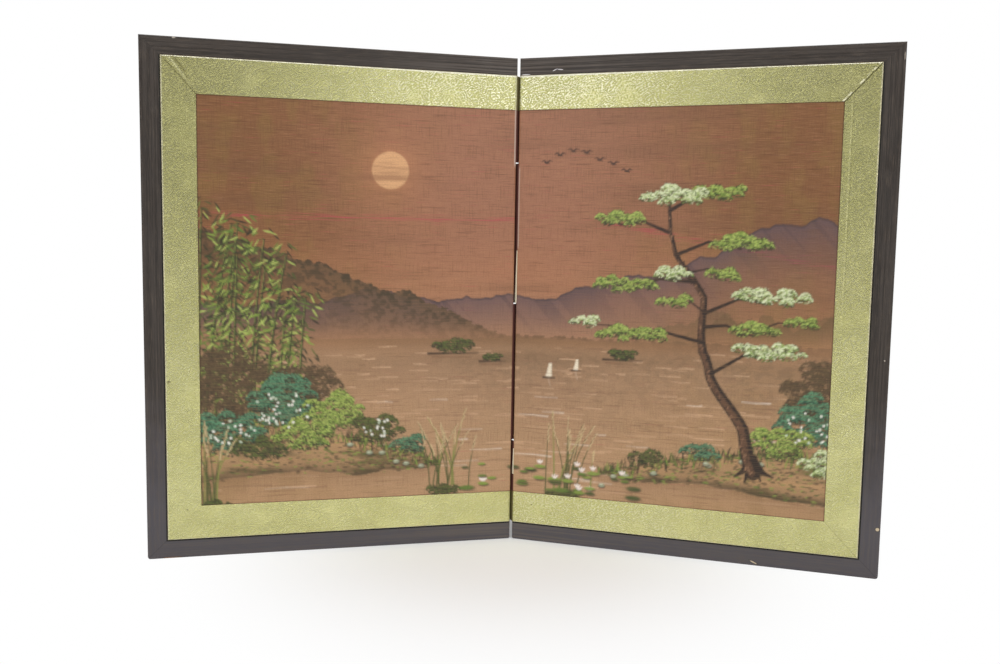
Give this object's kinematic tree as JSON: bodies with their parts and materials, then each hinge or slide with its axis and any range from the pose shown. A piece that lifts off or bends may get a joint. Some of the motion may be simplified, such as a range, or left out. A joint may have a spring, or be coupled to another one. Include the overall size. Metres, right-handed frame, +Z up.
{
  "type": "tabletop byobu folding screen",
  "caption": "Small standing folding screen of hinged silk-faced panels on lattice cores, with brocade borders, dark wood frames and cloth hinges that fold both ways.",
  "frame": {"origin": "on the floor, under the middle of the box that the screen fills as it stands half open", "axes": "+Z up, the panels' fronts towards -Y, +X along the screen to the right as seen from the front"},
  "size_m": [0.648, 0.0986, 0.457],
  "materials": {
    "lacquered_wood": "dark brown stain with a thin satin lacquer, worn at the arrises",
    "core_softwood": "planed, bare",
    "brad_steel": "dull drawn wire",
    "base_paper": "matt built-up mulberry paper",
    "hinge_cloth": "matt paper-backed cloth",
    "picture_silk": "slub silk with a low sheen",
    "gold_brocade": "fine jacquard with a metallic sheen",
    "cover_paper": "matt dark paper with a faint printed pattern"
  },
  "bodies": {
    "left_panel": {"left_outer_stile": "lacquered_wood", "left_top_rail": "lacquered_wood", "left_bottom_rail": "lacquered_wood", "left_frame_brads": "brad_steel", "left_core_outer_stile": "core_softwood", "left_core_hinge_stile": "core_softwood", "left_core_top_rail": "core_softwood", "left_core_bottom_rail": "core_softwood", "left_core_uprights": "core_softwood", "left_core_crossbars": "core_softwood", "left_edge_facing": "base_paper", "left_front_paper": "base_paper", "left_back_paper": "base_paper", "left_picture_silk": "picture_silk", "left_side_brocade": "gold_brocade", "left_top_brocade": "gold_brocade", "left_bottom_brocade": "gold_brocade", "left_back_cover": "cover_paper", "hinge_1_front_leaf": "hinge_cloth", "hinge_2_back_leaf": "hinge_cloth", "hinge_3_front_leaf": "hinge_cloth", "hinge_4_back_leaf": "hinge_cloth"},
    "hinge_webs": {"hinge_1_web": "hinge_cloth", "hinge_2_web": "hinge_cloth", "hinge_3_web": "hinge_cloth", "hinge_4_web": "hinge_cloth"},
    "right_panel": {"right_outer_stile": "lacquered_wood", "right_top_rail": "lacquered_wood", "right_bottom_rail": "lacquered_wood", "right_frame_brads": "brad_steel", "right_core_outer_stile": "core_softwood", "right_core_hinge_stile": "core_softwood", "right_core_top_rail": "core_softwood", "right_core_bottom_rail": "core_softwood", "right_core_uprights": "core_softwood", "right_core_crossbars": "core_softwood", "right_edge_facing": "base_paper", "right_front_paper": "base_paper", "right_back_paper": "base_paper", "right_picture_silk": "picture_silk", "right_side_brocade": "gold_brocade", "right_top_brocade": "gold_brocade", "right_bottom_brocade": "gold_brocade", "right_back_cover": "cover_paper", "hinge_1_back_leaf": "hinge_cloth", "hinge_2_front_leaf": "hinge_cloth", "hinge_3_back_leaf": "hinge_cloth", "hinge_4_front_leaf": "hinge_cloth"}
  },
  "joints": [
    {"name": "left_fold", "type": "hinge", "parent": "left_panel", "child": "hinge_webs", "pos_m": [-0.0066, 0.04294, 0.2285], "axis": [0, 0, -1], "range_deg": [-105.5, 74.5], "deforming": ["hinge_1_web", "hinge_2_web", "hinge_3_web", "hinge_4_web"]},
    {"name": "right_fold", "type": "hinge", "parent": "hinge_webs", "child": "right_panel", "pos_m": [0.0066, 0.04294, 0.2285], "axis": [0, 0, -1], "range_deg": [-105.5, 74.5]}
  ],
  "couplings": [
    {"joint": "right_fold", "follows": "left_fold", "ratio": 1}
  ]
}
